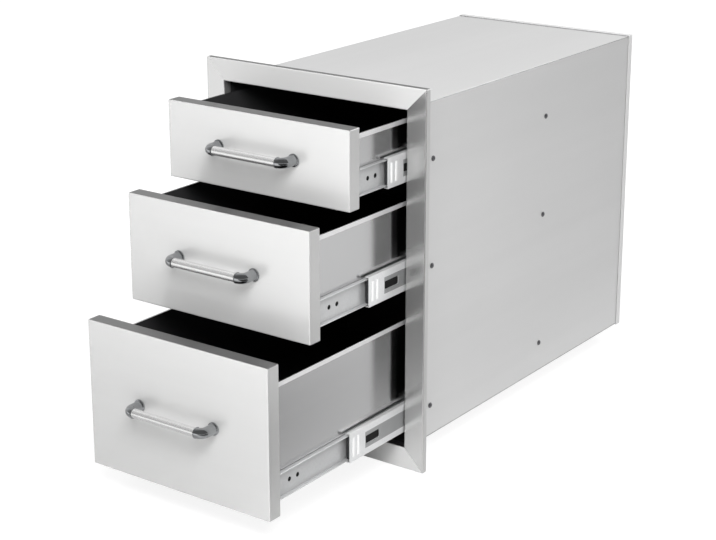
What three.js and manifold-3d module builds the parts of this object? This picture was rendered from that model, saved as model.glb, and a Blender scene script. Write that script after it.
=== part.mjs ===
// Outdoor kitchen drawer unit for building into an island: a stainless face frame with a box behind it
// and three drawers of different heights, each on two ball-bearing slides and drawn out by a different
// length. Millimetres. X runs to the right, Y into the island, Z up.
import * as THREE from "three";
import { mergeVertices } from "three/addons/utils/BufferGeometryUtils.js";
import Module from "manifold-3d";

const wasm = await Module();
wasm.setup();

// Face frame
const FACE_WIDTH = 355.6;
const FACE_HEIGHT = 515.6;
const RAIL = 30;
const FRAME_SHEET = 1.2;
const RIM_DEPTH = 9;
const RIM_RELIEF = 0.3;
const LIP_WIDTH = 9;
const LIP_NOTCH = 14;
const RETURN_DEPTH = 13.2;

// Box behind the frame
const GAP = 0.3;
const BOX_SHEET = 1;
const BOX_DEPTH = 600;
const BOX_FLANGE = 12;
const BACK_FLANGE = 11;

// Drawer fronts; the shares are of the opening's height without the reveals, the rest is the bottom front
const REVEAL = 3.4;
const FRONT_SHEET = 1.2;
const FRONT_DEPTH = 20;
const TOP_FRONT_SHARE = 0.2319;
const MIDDLE_FRONT_SHARE = 0.3238;
const TOP_OPEN = 116;
const MIDDLE_OPEN = 196.5;
const BOTTOM_OPEN = 278;

// Trays; the shares are of their own front's height
const TOP_WALL_SHARE = 0.7512;
const MIDDLE_WALL_SHARE = 0.7896;
const BOTTOM_WALL_SHARE = 0.7587;
const TOP_FLOOR_RISE = 14.8;
const MIDDLE_FLOOR_RISE = 16.8;
const BOTTOM_FLOOR_RISE = 20.1;
const TRAY_SHEET = 1;
const TRAY_LENGTH = 520;
const SLIDE_SPACE = 12.7;
const TRAY_DROP = 17.5;
const HEM_DEPTH = 6;
const HEM_SHEET = 1.2;
const BACK_INSET = 1;
const BACK_TURN = 12;

// Slides
const SLIDE_SHEET = 1.2;
const SLIDE_LENGTH = 500;
const SLIDE_START = 20.5;
const SLIDE_HALF_HEIGHT = 22.85;
const RACE = 1.7;
const LIP_GAP = 0.65;
const CABINET_MEMBER_DEPTH = 10.4;
const MIDDLE_MEMBER_DEPTH = 6.4;
const CAGE_SHEET = 0.8;
const CAGE_LENGTH = 200;
const CAGE_START = 165.5;
const WINDOW_START = 34;
const WINDOW_LENGTH = 30;
const WINDOW_HEIGHT = 11;
const RIB_HEIGHT = 0.7;
const RIB_LENGTH = 4.4;
const RIB_SPREAD = 26;
const RIB_START = 5;
const RIB_STEP = 10;
const RIB_COUNT = 2;
const HOLE_RADIUS = 3.2;
const HOLE_START = 26;
const HOLE_PAIR = 16;
const HOLE_STEP = 128;
const HOLE_COUNT = 4;

// Shares of a drawer's travel taken by what moves with it
const MIDDLE_SHARE = 0.5;
const OUTER_CAGE_SHARE = 0.25;
const INNER_CAGE_SHARE = 0.75;

// Handles
const HANDLE_HALF_SPAN = 60;
const HANDLE_RISE = 2;
const HANDLE_STANDOFF = 22;
const BAR_RADIUS = 6;
const ELBOW_RADIUS = 6.8;
const ELBOW_BEND = 8;
const SOCKET = 1.5;
const RING_RADIUS = 7.3;
const RING_WIDTH = 1.2;
const FOOT_RADIUS = 8.5;
const FOOT_THICKNESS = 2.4;
const BAR_SEGMENTS = 24;
const ELBOW_SEGMENTS = 20;
const ELBOW_STEPS = 12;
const HOLE_SEGMENTS = 12;

// What follows from the values above
const OPENING_HALF = FACE_WIDTH / 2 - RAIL;
const OPENING_BOTTOM = RAIL;
const OPENING_TOP = FACE_HEIGHT - RAIL;
const BOX_INNER = OPENING_HALF + FRAME_SHEET + GAP;
const BOX_OUTER = BOX_INNER + BOX_SHEET;
const SIDE_BOTTOM = OPENING_BOTTOM - FRAME_SHEET;
const SIDE_TOP = OPENING_TOP + FRAME_SHEET;
const PANEL_START = FRAME_SHEET + GAP;
const PANEL_END = BOX_DEPTH - BOX_SHEET - GAP;
const FRONTS_HEIGHT = OPENING_TOP - OPENING_BOTTOM - 4 * REVEAL;
const TOP_FRONT = TOP_FRONT_SHARE * FRONTS_HEIGHT;
const MIDDLE_FRONT = MIDDLE_FRONT_SHARE * FRONTS_HEIGHT;
const BOTTOM_FRONT = FRONTS_HEIGHT - TOP_FRONT - MIDDLE_FRONT;
const FRONT_HALF = OPENING_HALF - REVEAL;
const TRAY_HALF = BOX_INNER - SLIDE_SPACE;
const TRAY_START = FRONT_DEPTH + GAP;
const TRAY_END = TRAY_START + TRAY_LENGTH;
const CABINET_WEB = BOX_INNER - GAP;
const OUTER_CAGE_WEB = CABINET_WEB - SLIDE_SHEET - GAP;
const MIDDLE_WEB = OUTER_CAGE_WEB - CAGE_SHEET - GAP;
const INNER_CAGE_WEB = MIDDLE_WEB - SLIDE_SHEET - GAP;
const DRAWER_WEB = TRAY_HALF + GAP;
const MIDDLE_HALF_HEIGHT = SLIDE_HALF_HEIGHT - SLIDE_SHEET - RACE;
const DRAWER_HALF_HEIGHT = MIDDLE_HALF_HEIGHT - SLIDE_SHEET - RACE;
const MEMBER_LIP = SLIDE_SHEET + RACE - LIP_GAP;
const BOTTOM_FRONT_BASE = OPENING_BOTTOM + REVEAL;
const MIDDLE_FRONT_BASE = BOTTOM_FRONT_BASE + BOTTOM_FRONT + REVEAL;
const TOP_FRONT_BASE = MIDDLE_FRONT_BASE + MIDDLE_FRONT + REVEAL;

// Each drawer: base and height of its front, underside and height of its tray, and how far it stands open
const DRAWERS = [
  {
    name: "top",
    base: TOP_FRONT_BASE,
    height: TOP_FRONT,
    low: TOP_FRONT_BASE + TOP_FLOOR_RISE,
    wall: TOP_WALL_SHARE * TOP_FRONT,
    open: TOP_OPEN,
  },
  {
    name: "middle",
    base: MIDDLE_FRONT_BASE,
    height: MIDDLE_FRONT,
    low: MIDDLE_FRONT_BASE + MIDDLE_FLOOR_RISE,
    wall: MIDDLE_WALL_SHARE * MIDDLE_FRONT,
    open: MIDDLE_OPEN,
  },
  {
    name: "bottom",
    base: BOTTOM_FRONT_BASE,
    height: BOTTOM_FRONT,
    low: BOTTOM_FRONT_BASE + BOTTOM_FLOOR_RISE,
    wall: BOTTOM_WALL_SHARE * BOTTOM_FRONT,
    open: BOTTOM_OPEN,
  },
];

const SIDES = [
  { name: "left", sign: -1 },
  { name: "right", sign: 1 },
];

const brushed = { color: 0xc9cac8, roughness: 0.3, metalness: 1 };
const dull = { color: 0xb4b6b6, roughness: 0.45, metalness: 1 };
const zinc = { color: 0xa6a9ab, roughness: 0.4, metalness: 1 };
const chrome = { color: 0xdcdddf, roughness: 0.08, metalness: 1 };
const plastic = { color: 0x2a2b2c, roughness: 0.6, metalness: 0 };

// A closed geometry as a solid that can be joined and cut.
function solidOf(geometry) {
  geometry.deleteAttribute("normal");
  geometry.deleteAttribute("uv");
  const merged = mergeVertices(geometry);
  return new wasm.Manifold(
    new wasm.Mesh({
      numProp: 3,
      vertProperties: merged.attributes.position.array,
      triVerts: new Uint32Array(merged.index.array),
    }),
  );
}

// A rectangular solid between two limits on each axis.
function slab([x0, x1], [y0, y1], [z0, z1]) {
  const box = new THREE.BoxGeometry(x1 - x0, y1 - y0, z1 - z0);
  return solidOf(box.translate((x0 + x1) / 2, (y0 + y1) / 2, (z0 + z1) / 2));
}

// The same limits taken in by a thickness at both ends.
function within([low, high], thickness) {
  return [low + thickness, high - thickness];
}

function ordered(a, b) {
  return a < b ? [a, b] : [b, a];
}

// Places in a row: how many, the first one and the distance between them.
function steps(count, first, pitch) {
  return Array.from({ length: count }, (_, i) => first + i * pitch);
}

function join(...parts) {
  return parts.reduce((sum, part) => sum.add(part));
}

function cut(part, ...tools) {
  return tools.reduce((rest, tool) => rest.subtract(tool), part);
}

// A band of sheet around a rectangle in X and Z, with its outer faces on the limits.
function band(x, y, z, sheet) {
  return cut(slab(x, y, z), slab(within(x, sheet), y, within(z, sheet)));
}

// A profile of points in X and Z, drawn out along Y; sign -1 mirrors it to the left side.
function along(points, sign, start, length) {
  const shape = new THREE.Shape(points.map(([x, z]) => new THREE.Vector2(sign * x, z)));
  const bar = new THREE.ExtrudeGeometry(shape, { depth: length, bevelEnabled: false });
  return solidOf(bar.rotateX(Math.PI / 2).translate(0, start + length, 0));
}

// Channel profile: a web at one X, flanges that run to another, and lips turned in at their ends.
function channel(web, end, half, webSheet, flangeSheet, lip) {
  const way = Math.sign(web - end);
  const inner = web - way * webSheet;
  const turned = end + way * webSheet;
  const upper = lip
    ? [[end, half], [end, half - lip], [turned, half - lip], [turned, half - flangeSheet]]
    : [[end, half], [end, half - flangeSheet]];
  const top = [[web, half], ...upper, [inner, half - flangeSheet]];
  return [...top, ...top.map(([x, z]) => [x, -z]).reverse()];
}

// A round bar along X, or a round pin along Y, between two limits.
function roundAlongX(radius, [x0, x1], y, z, segments) {
  const pin = new THREE.CylinderGeometry(radius, radius, x1 - x0, segments);
  return solidOf(pin.rotateZ(Math.PI / 2).translate((x0 + x1) / 2, y, z));
}

function roundAlongY(radius, x, [y0, y1], z, segments) {
  const pin = new THREE.CylinderGeometry(radius, radius, y1 - y0, segments);
  return solidOf(pin.translate(x, (y0 + y1) / 2, z));
}

// Centre line of a handle end: straight out from the foot, a quarter bend, then straight in.
class ElbowPath extends THREE.Curve {
  constructor(sign, z, start) {
    super();
    this.sign = sign;
    this.z = z;
    this.start = start;
    this.straight = HANDLE_STANDOFF - ELBOW_BEND + start;
    this.bend = (ELBOW_BEND * Math.PI) / 2;
    this.total = this.straight + this.bend + SOCKET;
  }

  getPoint(t) {
    const way = t * this.total;
    let across = 0;
    let out = way - this.start;
    if (way > this.straight + this.bend) {
      across = ELBOW_BEND + way - this.straight - this.bend;
      out = HANDLE_STANDOFF;
    } else if (way > this.straight) {
      const turn = (way - this.straight) / ELBOW_BEND;
      across = ELBOW_BEND * (1 - Math.cos(turn));
      out = HANDLE_STANDOFF - ELBOW_BEND * (1 - Math.sin(turn));
    }
    return new THREE.Vector3(this.sign * (HANDLE_HALF_SPAN - across), -out, this.z);
  }
}

function addNode(group, name, solid, look) {
  const mesh = solid.getMesh();
  const geometry = new THREE.BufferGeometry();
  geometry.setAttribute("position", new THREE.BufferAttribute(mesh.vertProperties, mesh.numProp));
  geometry.setIndex(new THREE.BufferAttribute(mesh.triVerts, 1));
  const flat = geometry.toNonIndexed();
  flat.computeVertexNormals();
  const node = new THREE.Mesh(flat, new THREE.MeshStandardMaterial(look));
  node.name = name;
  group.add(node);
}

function addGroup(parent, open) {
  const group = new THREE.Group();
  group.position.y = -open;
  parent.add(group);
  return group;
}

// Face frame: plate with the opening, outer rim with lips that lie against the island, inner return
function makeFaceFrame() {
  const x = [-FACE_WIDTH / 2, FACE_WIDTH / 2];
  const z = [0, FACE_HEIGHT];
  const openingX = [-OPENING_HALF, OPENING_HALF];
  const openingZ = [OPENING_BOTTOM, OPENING_TOP];
  const plate = cut(slab(x, [0, FRAME_SHEET], z), slab(openingX, [0, FRAME_SHEET], openingZ));
  const rim = band(x, [0, RIM_DEPTH - RIM_RELIEF], z, FRAME_SHEET);
  const turnX = within(openingX, -FRAME_SHEET);
  const turnZ = within(openingZ, -FRAME_SHEET);
  const turn = band(turnX, [0, RETURN_DEPTH], turnZ, FRAME_SHEET);
  const lipY = [RIM_DEPTH - FRAME_SHEET, RIM_DEPTH];
  const lips = [
    slab(within(x, LIP_NOTCH), lipY, [0, LIP_WIDTH]),
    slab(within(x, LIP_NOTCH), lipY, [FACE_HEIGHT - LIP_WIDTH, FACE_HEIGHT]),
    slab([x[0], x[0] + LIP_WIDTH], lipY, within(z, LIP_NOTCH)),
    slab([x[1] - LIP_WIDTH, x[1]], lipY, within(z, LIP_NOTCH)),
  ];
  return join(plate, rim, turn, ...lips);
}

function makeSidePanel(sign) {
  const x = ordered(sign * BOX_INNER, sign * BOX_OUTER);
  const flangeX = ordered(sign * (BOX_OUTER - BOX_FLANGE), sign * BOX_OUTER);
  const flangeY = [RETURN_DEPTH + GAP, PANEL_END];
  const flanges = [SIDE_BOTTOM, SIDE_TOP - BOX_SHEET].map((low) =>
    slab(flangeX, flangeY, [low, low + BOX_SHEET]),
  );
  return join(slab(x, [PANEL_START, PANEL_END], [SIDE_BOTTOM, SIDE_TOP]), ...flanges);
}

function makeFlatPanel(low) {
  return slab([-BOX_OUTER, BOX_OUTER], [PANEL_START, PANEL_END], [low, low + BOX_SHEET]);
}

// Back panel: a plate whose edges are turned forward over the outside of the box
function makeBackPanel() {
  const reach = BOX_OUTER + GAP + BOX_SHEET;
  const x = [-reach, reach];
  const y = [BOX_DEPTH - BACK_FLANGE, BOX_DEPTH];
  const over = GAP + BOX_SHEET + GAP + BOX_SHEET;
  const z = [SIDE_BOTTOM - over, SIDE_TOP + over];
  const hollow = slab(within(x, BOX_SHEET), [y[0], BOX_DEPTH - BOX_SHEET], within(z, BOX_SHEET));
  return cut(slab(x, y, z), hollow);
}

function makeCabinetMember(sign, z) {
  const end = CABINET_WEB - CABINET_MEMBER_DEPTH;
  const points = channel(CABINET_WEB, end, SLIDE_HALF_HEIGHT, SLIDE_SHEET, SLIDE_SHEET, MEMBER_LIP);
  return along(points, sign, SLIDE_START, SLIDE_LENGTH).translate([0, 0, z]);
}

// Middle member: its web has raised ribs near the front end and a window behind them
function makeMiddleMember(sign, z) {
  const end = MIDDLE_WEB - MIDDLE_MEMBER_DEPTH;
  const points = channel(MIDDLE_WEB, end, MIDDLE_HALF_HEIGHT, SLIDE_SHEET, SLIDE_SHEET, MEMBER_LIP);
  const member = along(points, sign, SLIDE_START, SLIDE_LENGTH);
  const x = ordered(sign * end, sign * (MIDDLE_WEB + RIB_HEIGHT));
  const ribX = ordered(sign * (MIDDLE_WEB - SLIDE_SHEET / 2), sign * (MIDDLE_WEB + RIB_HEIGHT));
  const ribs = steps(RIB_COUNT, SLIDE_START + RIB_START, RIB_STEP).map((place) =>
    slab(ribX, [place, place + RIB_LENGTH], [-RIB_SPREAD / 2, RIB_SPREAD / 2]),
  );
  const start = SLIDE_START + WINDOW_START;
  const window = slab(x, [start, start + WINDOW_LENGTH], [-WINDOW_HEIGHT / 2, WINDOW_HEIGHT / 2]);
  return cut(join(member, ...ribs), window).translate([0, 0, z]);
}

function makeDrawerMember(sign, z) {
  const end = INNER_CAGE_WEB - CAGE_SHEET - GAP;
  const points = channel(DRAWER_WEB, end, DRAWER_HALF_HEIGHT, SLIDE_SHEET, SLIDE_SHEET, 0);
  const member = along(points, sign, SLIDE_START, SLIDE_LENGTH);
  const x = ordered(sign * DRAWER_WEB, sign * end);
  const first = SLIDE_START + HOLE_START;
  const places = [first + HOLE_PAIR, ...steps(HOLE_COUNT, first, HOLE_STEP)];
  const holes = places.map((place) => roundAlongX(HOLE_RADIUS, x, place, 0, HOLE_SEGMENTS));
  return cut(member, ...holes).translate([0, 0, z]);
}

// Ball cage: two strips in the races, held by a thin web between two members
function makeCage(sign, z, web, end, memberHalf) {
  const points = channel(web, end, memberHalf + RACE - GAP, CAGE_SHEET, RACE - 2 * GAP, 0);
  return along(points, sign, CAGE_START, CAGE_LENGTH).translate([0, 0, z]);
}

function makeOuterCage(sign, z) {
  const end = CABINET_WEB - CABINET_MEMBER_DEPTH + SLIDE_SHEET + GAP;
  return makeCage(sign, z, OUTER_CAGE_WEB, end, MIDDLE_HALF_HEIGHT);
}

function makeInnerCage(sign, z) {
  const end = MIDDLE_WEB - MIDDLE_MEMBER_DEPTH + SLIDE_SHEET + GAP;
  return makeCage(sign, z, INNER_CAGE_WEB, end, DRAWER_HALF_HEIGHT);
}

// Tray: floor, side walls with hemmed top edges, and the wall behind the drawer front
function makeTray(low, wall) {
  const x = [-TRAY_HALF, TRAY_HALF];
  const y = [TRAY_START, TRAY_END];
  const high = low + wall;
  const floor = slab(x, y, [low, low + TRAY_SHEET]);
  const front = slab(x, [TRAY_START, TRAY_START + TRAY_SHEET], [low, high]);
  const inner = TRAY_HALF - TRAY_SHEET;
  const sides = SIDES.flatMap(({ sign }) => [
    slab(ordered(sign * inner, sign * TRAY_HALF), y, [low, high]),
    slab(ordered(sign * inner, sign * (TRAY_HALF + HEM_SHEET)), y, [high - HEM_DEPTH, high]),
  ]);
  return join(floor, front, ...sides);
}

function makeTrayBack(low, wall) {
  const half = TRAY_HALF - TRAY_SHEET - GAP;
  const y = [TRAY_END - BACK_INSET - BACK_TURN, TRAY_END - BACK_INSET];
  const base = low + TRAY_SHEET + GAP;
  const plate = slab([-half, half], [y[1] - TRAY_SHEET, y[1]], [base, low + wall]);
  const turned = SIDES.map(({ sign }) =>
    slab(ordered(sign * half, sign * (half - TRAY_SHEET)), y, [base, low + wall]),
  );
  return join(plate, slab([-half, half], y, [base, base + TRAY_SHEET]), ...turned);
}

function makeFront(low, high) {
  const x = [-FRONT_HALF, FRONT_HALF];
  return join(slab(x, [0, FRONT_SHEET], [low, high]), band(x, [0, FRONT_DEPTH], [low, high], FRONT_SHEET));
}

function makeFrontLiner(low, high) {
  const inset = FRONT_SHEET + GAP;
  const x = within([-FRONT_HALF, FRONT_HALF], inset);
  return slab(x, [FRONT_DEPTH - FRONT_SHEET, FRONT_DEPTH], within([low, high], inset));
}

// Handle end: round foot on the drawer front, bent tube, and a ring where the bar enters
function makeHandlePost(sign, z) {
  const footY = [-GAP - FOOT_THICKNESS, -GAP];
  const foot = roundAlongY(FOOT_RADIUS, sign * HANDLE_HALF_SPAN, footY, z, BAR_SEGMENTS);
  const circle = new THREE.Shape().absarc(0, 0, ELBOW_RADIUS, 0, 2 * Math.PI);
  const tube = new THREE.ExtrudeGeometry(circle, {
    steps: ELBOW_STEPS,
    curveSegments: ELBOW_SEGMENTS,
    bevelEnabled: false,
    extrudePath: new ElbowPath(sign, z, -GAP - FOOT_THICKNESS / 2),
  });
  const socketEnd = HANDLE_HALF_SPAN - ELBOW_BEND - SOCKET;
  const ringX = ordered(sign * socketEnd, sign * (socketEnd + RING_WIDTH));
  return join(foot, solidOf(tube), roundAlongX(RING_RADIUS, ringX, -HANDLE_STANDOFF, z, BAR_SEGMENTS));
}

function makeHandleBar(z) {
  const half = HANDLE_HALF_SPAN - ELBOW_BEND - SOCKET - GAP;
  return roundAlongX(BAR_RADIUS, [-half, half], -HANDLE_STANDOFF, z, BAR_SEGMENTS);
}

// The part's origin lies on the rear face of the bottom lip, in the middle of its width
const part = new THREE.Group();
part.name = "outdoor_drawer_unit";
const unit = addGroup(part, RIM_DEPTH);
unit.position.z = -LIP_WIDTH / 2;

addNode(unit, "face_frame", makeFaceFrame(), brushed);
addNode(unit, "top_panel", makeFlatPanel(SIDE_TOP + GAP), dull);
addNode(unit, "bottom_panel", makeFlatPanel(SIDE_BOTTOM - GAP - BOX_SHEET), dull);
addNode(unit, "back_panel", makeBackPanel(), dull);
for (const side of SIDES) addNode(unit, `${side.name}_side_panel`, makeSidePanel(side.sign), dull);

for (const drawer of DRAWERS) {
  const { name, base, height, low, wall, open } = drawer;
  const slideZ = low + TRAY_DROP;
  const handleZ = base + height / 2 + HANDLE_RISE;
  const body = addGroup(unit, open);
  const middle = addGroup(unit, MIDDLE_SHARE * open);
  const outerCage = addGroup(unit, OUTER_CAGE_SHARE * open);
  const innerCage = addGroup(unit, INNER_CAGE_SHARE * open);
  addNode(body, `${name}_tray`, makeTray(low, wall), dull);
  addNode(body, `${name}_tray_back`, makeTrayBack(low, wall), dull);
  addNode(body, `${name}_front`, makeFront(base, base + height), brushed);
  addNode(body, `${name}_front_liner`, makeFrontLiner(base, base + height), dull);
  addNode(body, `${name}_handle_bar`, makeHandleBar(handleZ), brushed);
  for (const { name: hand, sign } of SIDES) {
    const mark = `${name}_${hand}`;
    addNode(body, `${mark}_handle_post`, makeHandlePost(sign, handleZ), chrome);
    addNode(body, `${mark}_drawer_slide`, makeDrawerMember(sign, slideZ), zinc);
    addNode(middle, `${mark}_middle_slide`, makeMiddleMember(sign, slideZ), zinc);
    addNode(unit, `${mark}_cabinet_slide`, makeCabinetMember(sign, slideZ), zinc);
    addNode(outerCage, `${mark}_outer_cage`, makeOuterCage(sign, slideZ), plastic);
    addNode(innerCage, `${mark}_inner_cage`, makeInnerCage(sign, slideZ), plastic);
  }
}

export default part;
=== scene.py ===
"""Outdoor kitchen drawer unit: brushed stainless frame and box, three drawers on ball slides."""
import math

import bmesh
import bpy
from mathutils import Euler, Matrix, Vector


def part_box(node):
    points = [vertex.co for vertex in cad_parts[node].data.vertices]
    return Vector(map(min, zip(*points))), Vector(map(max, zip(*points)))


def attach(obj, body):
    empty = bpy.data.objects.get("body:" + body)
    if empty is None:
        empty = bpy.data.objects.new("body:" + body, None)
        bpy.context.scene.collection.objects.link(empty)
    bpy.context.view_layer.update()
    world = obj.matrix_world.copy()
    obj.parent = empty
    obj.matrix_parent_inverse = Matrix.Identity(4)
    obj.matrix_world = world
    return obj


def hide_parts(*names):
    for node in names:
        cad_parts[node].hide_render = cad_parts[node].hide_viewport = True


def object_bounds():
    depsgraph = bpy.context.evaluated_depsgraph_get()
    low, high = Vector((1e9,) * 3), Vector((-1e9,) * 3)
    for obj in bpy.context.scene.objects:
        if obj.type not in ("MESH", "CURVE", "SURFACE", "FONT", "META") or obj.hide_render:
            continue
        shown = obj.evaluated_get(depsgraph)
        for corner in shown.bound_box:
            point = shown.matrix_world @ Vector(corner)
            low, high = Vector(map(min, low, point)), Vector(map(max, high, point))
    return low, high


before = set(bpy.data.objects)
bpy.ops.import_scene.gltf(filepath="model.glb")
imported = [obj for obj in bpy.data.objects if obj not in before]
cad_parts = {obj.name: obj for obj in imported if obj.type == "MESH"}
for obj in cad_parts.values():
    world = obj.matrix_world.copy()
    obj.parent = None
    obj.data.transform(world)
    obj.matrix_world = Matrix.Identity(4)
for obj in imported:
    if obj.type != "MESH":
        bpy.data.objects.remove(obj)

CAD_BOX = [list(corner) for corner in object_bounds()]
MM = 0.001
DRAWERS = ("top", "middle", "bottom")
HANDS = (("left", -1), ("right", 1))

# Frame and drawer fronts
FRAME_SHEET = 1.2 * MM
FRAME_RAIL = 30 * MM
RIM_DEPTH = 9 * MM
RIM_LIP = 9 * MM
RETURN_DEPTH = 13.2 * MM
FRONT_SHEET = 1.2 * MM
FOLD_RADIUS = 1.6 * MM
FOLD_STEPS = 6
FLAT_MARGIN = 0.6 * MM  # flat ring beside a fold, which keeps the fold's shading narrow
FOLD_INSIDE = 0.4 * MM
LIP_INSIDE = 0.3 * MM
CORNER_RADIUS = 1.5 * MM
CORNER_STEPS = 4
LEAST_CORNER = 0.01 * MM
FILLET_STEPS = 5

# Box and trays
EDGE_BREAK = 0.25 * MM
BOX_SKIN = 0.6 * MM  # faces of a box side further in than this are its inside
BACK_SKIN = 2 * MM  # the back's inner face lies within this of its rear face
BACK_TURN = 1.5 * MM  # what lies further forward than this is the back's turned edge
HEM_PROUD = 1.2 * MM
HEM_HEIGHT = 6.5 * MM  # the hem reaches this far down from the tray's top edge
HEM_TOP = 5 * MM  # upward faces of a tray lower than this are its floor
WALL_SKIN = 0.5 * MM
CLOSE = 0.1 * MM  # what is this near the tray's wall is on it

# Handles
BAR_RADIUS = 6 * MM
BAR_CHAMFER = 0.5 * MM
BAR_SIDES = 48
ELBOW_RADIUS = 6.8 * MM
ELBOW_BEND = 8 * MM
ELBOW_STEPS = 14
ELBOW_SIDES = 32
SOCKET = 1.5 * MM  # how far a handle end goes on past its bend, over the bar
RING_LENGTH = 1.2 * MM
RING_RADIUS = 7.3 * MM
FOOT_RADIUS = 8.5 * MM
STANDOFF = 22 * MM
HALF_SPAN = 60 * MM
GAP = 0.3 * MM  # between a foot and the drawer front
# Turned profiles in millimetres: way along the part, and what its radius has over the named one
FOOT_PROFILE = ((0, -0.5), (0.2, -0.1), (0.5, 0), (1.8, 0), (2.2, -0.25), (2.4, -0.6))
NECK_PROFILE = ((2.5, 0.5), (3.0, 0.15), (3.9, 0))
RING_PROFILE = ((-1.15, -0.2), (-1.0, 0), (-0.25, 0), (-0.1, -0.2), (0, -0.6))

# Slides
SLIDE_SHEET = 1.2 * MM
RACE_FOLD = 0.5 * MM
LONG_EDGE = 100 * MM
RACE_STEPS = 4
END_FOLD = 0.5 * MM
TALL_EDGE = 20 * MM
END_STEPS = 3
RIB_HEIGHT = 0.7 * MM
RIB_TOP = 0.3 * MM
RIB_AREA = 2e-4  # square metres; the faces of a rib are smaller
CAGE_BREAK = 0.15 * MM
WINDOW_START = 34 * MM
WINDOW_LENGTH = 30 * MM
WINDOW_HEIGHT = 11 * MM
WINDOW_CORNER = 3.2 * MM
WINDOW_GAP = 0.1 * MM
# the web's darker tone is painted shade between the raceways
WEB_LEAD = 1 * MM  # the darker web starts this far ahead of the window
WEB_HALF_HEIGHT = 11 * MM
GUIDE_SUNK = 1.5 * MM  # from the outer face of the web to the guide
GUIDE_DEPTH = 4.7 * MM
GUIDE_HALF_HEIGHT = 15.3 * MM
GUIDE_CORNER = 1 * MM
# Profiles of the plastic parts in millimetres: inset of the outline, and depth
INSERT_PROFILE = ((0, 1.15), (0, 0.8), (0.2, 0.65), (2.6, 0.65), (2.9, 0.95))
GUIDE_PROFILE = ((0.5, 0.6), (0.15, 0.75), (0, 1.1), (0, 16.1))

# Screws, and the round holes of the drawer members, with near-black discs of painted shade in them
FIRST_SCREW = 37 * MM
SCREW_PITCH = 288 * MM
BOX_SCREW = 7.5 * MM
DRAWER_SCREW = 7 * MM
DRAWER_SCREWS = (154 * MM, 282 * MM, 410 * MM)
HOLE = 6.2 * MM
HOLES = (26 * MM, 42 * MM)
HOLE_PROUD = 0.2 * MM
HEAD_SIDES = 24
HEAD_PROFILE = ((0.5, 0), (0.5, 0.05), (0.47, 0.12), (0.38, 0.19), (0.26, 0.23), (0.17, 0.24))
CROSS_TIP = 0.16
CROSS_CORNER = 0.07
CROSS_FLOOR = 0.1

# Patterns in the finishes: what they do to the tone and roughness that a material is given
GRAIN_SCALES = {"x": (9, 900, 900), "y": (900, 9, 900), "z": (900, 900, 9)}
GRAIN_ROTATION = 0.25
LINE_TONES = (0.975, 1.025)
LINE_GLOSS = (0.92, 1.08)
LINE_DEPTH = 0.12 * MM
WIPED = 0.02
ROLLING_SCALE = (260, 9, 260)
ROLLING_TONES = (0.97, 1.03)
ROLLING_GLOSS = 0.06
ROLLING_DEPTH = 0.1 * MM
MOTTLE_SCALE = 420.0
MOTTLE_TONE = 0.93
MOTTLE_GLOSS = 0.12
CHROME_TONES = ((0.44, 0.45, 0.46), (0.38, 0.39, 0.4))
CHROME_GLOSS = (0.05, 0.11)
PEEL_TONE = 1.5
PEEL_GLOSS = 0.06
PEEL_DEPTH = 0.2 * MM

# Angles and shares that sort edges and faces
FLAT_ANGLE = math.radians(0.5)
EDGE_ANGLE = math.radians(30)
FOLD_SMOOTH = math.radians(20)
MEMBER_SMOOTH = math.radians(30)
ROUND_SMOOTH = math.radians(38)
FACING = 0.7  # a face whose normal has this share along an axis faces that way
ENDWISE = 0.9  # and with this share along its grain it is the sheet's end
SIDEWAYS = 0.5  # faces of a folded sheet with less than this share along Y are its edges
STRAIGHT = 0.99  # an edge or a normal with this share along an axis is parallel to it
DOUBLE = 2e-6  # metres; points closer than this are one
DEPTHWISE, UPRIGHT = 1, 2


# Shader groups

def new_group(name, setting, value, outputs):
    """An empty shader node group that reads a vector and one setting, and its two end nodes."""
    group = bpy.data.node_groups.new(name, "ShaderNodeTree")
    socket = group.interface.new_socket
    socket(name="Vector", in_out="INPUT", socket_type="NodeSocketVector")
    socket(name=setting, in_out="INPUT", socket_type="NodeSocketFloat").default_value = value
    for label in outputs:
        socket(name=label, in_out="OUTPUT", socket_type="NodeSocketFloat")
    return group, group.nodes.new("NodeGroupInput"), group.nodes.new("NodeGroupOutput")


def add(tree, kind, values=None, **settings):
    """A node with its settings and the values of its own sockets."""
    node = tree.nodes.new(kind)
    for key, setting in settings.items():
        setattr(node, key, setting)
    for label, value in (values or {}).items():
        node.inputs[label].default_value = value
    return node


def math_node(tree, operation, first, second):
    """A Math node whose two inputs are numbers or sockets."""
    node = add(tree, "ShaderNodeMath", operation=operation)
    for socket, value in zip(node.inputs, (first, second)):
        if isinstance(value, (int, float)):
            socket.default_value = value
        else:
            tree.links.new(value, socket)
    return node.outputs[0]


def make_brushing():
    """Fine and broad brush lines from a vector that is already drawn out along the grain."""
    group, start, end = new_group("brushing", "Streaks", 0.5, ("Lines", "Broad"))
    link = group.links.new
    fine = add(group, "ShaderNodeTexNoise", {"Scale": 1.0, "Detail": 3.0, "Roughness": 0.65})
    broad = add(group, "ShaderNodeTexNoise", {"Scale": 0.11, "Detail": 2.0})
    mix = add(group, "ShaderNodeMix", data_type="FLOAT")
    link(start.outputs["Vector"], fine.inputs["Vector"])
    link(start.outputs["Vector"], broad.inputs["Vector"])
    link(start.outputs["Streaks"], mix.inputs["Factor"])
    link(fine.outputs["Fac"], mix.inputs[2])
    link(broad.outputs["Fac"], mix.inputs[3])
    link(mix.outputs[0], end.inputs["Lines"])
    link(broad.outputs["Fac"], end.inputs["Broad"])
    return group


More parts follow.
